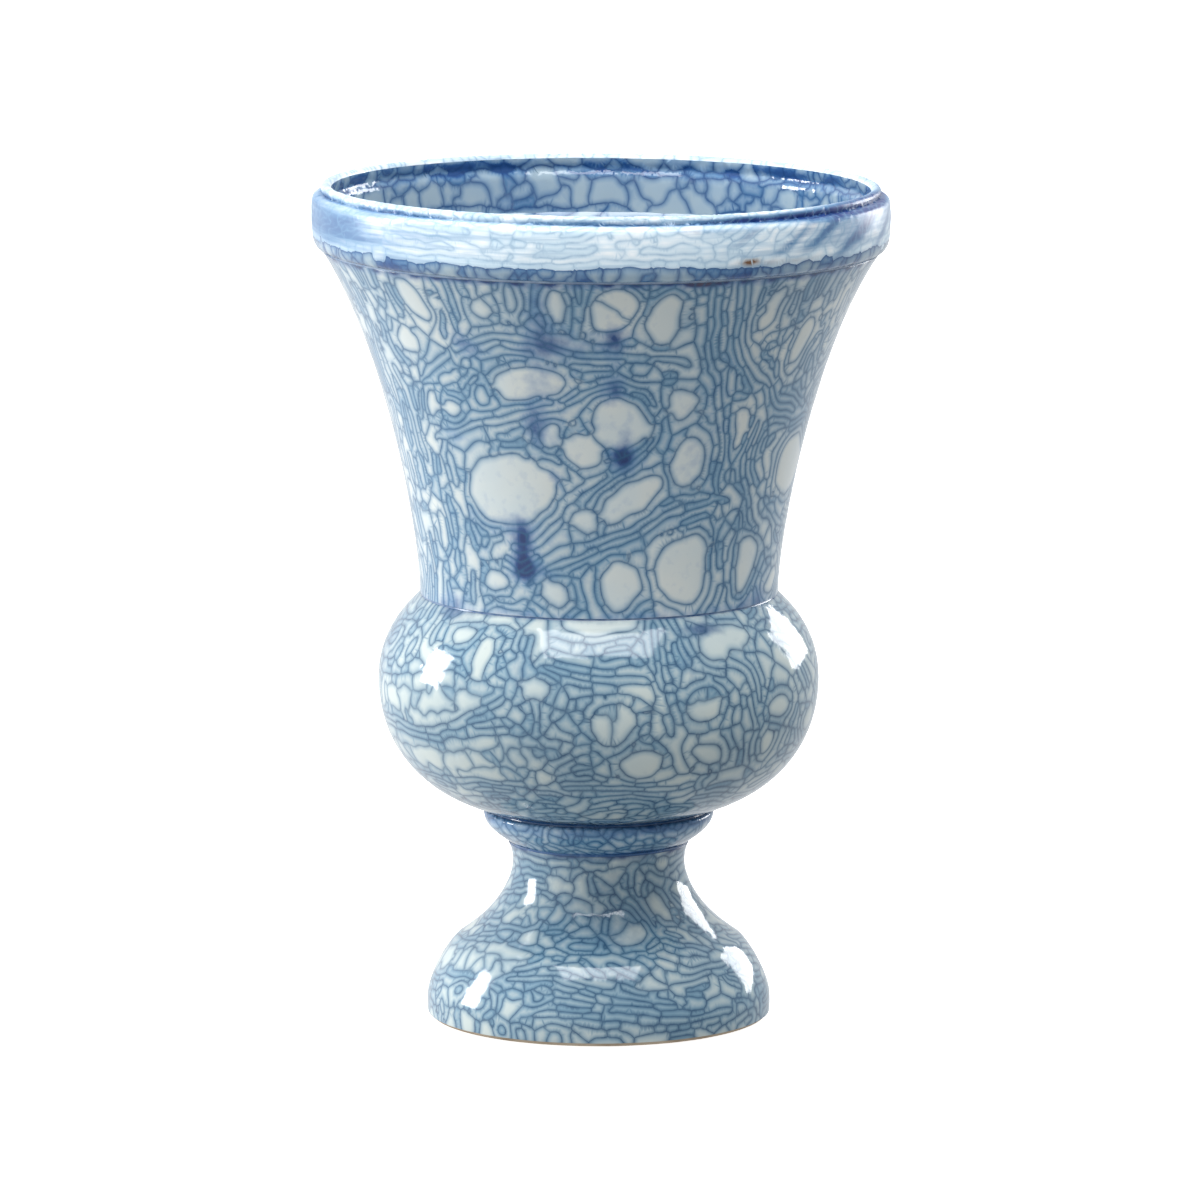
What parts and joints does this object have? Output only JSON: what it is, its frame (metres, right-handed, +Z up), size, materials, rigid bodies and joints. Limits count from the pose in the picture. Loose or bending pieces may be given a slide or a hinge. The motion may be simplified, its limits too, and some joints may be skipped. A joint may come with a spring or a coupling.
{
  "type": "footed vase",
  "caption": "Glazed stoneware urn vase with a flared trumpet neck, heavy rolled rim, round bowl, ring moulding and hollow pedestal foot, in blue crackle glaze.",
  "frame": {"origin": "centre of the foot's underside, on the axis of the vase, at the surface it stands on", "axes": "+Z up along the axis of the vase to the mouth; X and Y are alike, and -Y is the side the picture shows"},
  "size_m": [0.21, 0.21, 0.3053],
  "materials": {
    "crackle_glaze": "glossy pale grey-green glaze over stoneware, with a network of slate-blue crackle lines",
    "pooled_glaze": "the same glossy crackle glaze, bluer where it pools along the mouldings",
    "bare_clay": "matt buff stoneware, wiped clean of glaze where it stands",
    "slip": "fired luting slip, stained blue by the glaze at its edge"
  },
  "bodies": {
    "root": {"foot_ring": "bare_clay", "foot_slip": "slip", "pedestal_foot": "crackle_glaze", "stem_slip": "slip", "stem_collar": "pooled_glaze", "collar_slip": "slip", "bowl": "crackle_glaze", "waist_slip": "slip", "flared_neck": "crackle_glaze", "rim_slip": "slip", "rim_band": "pooled_glaze"}
  },
  "joints": []
}
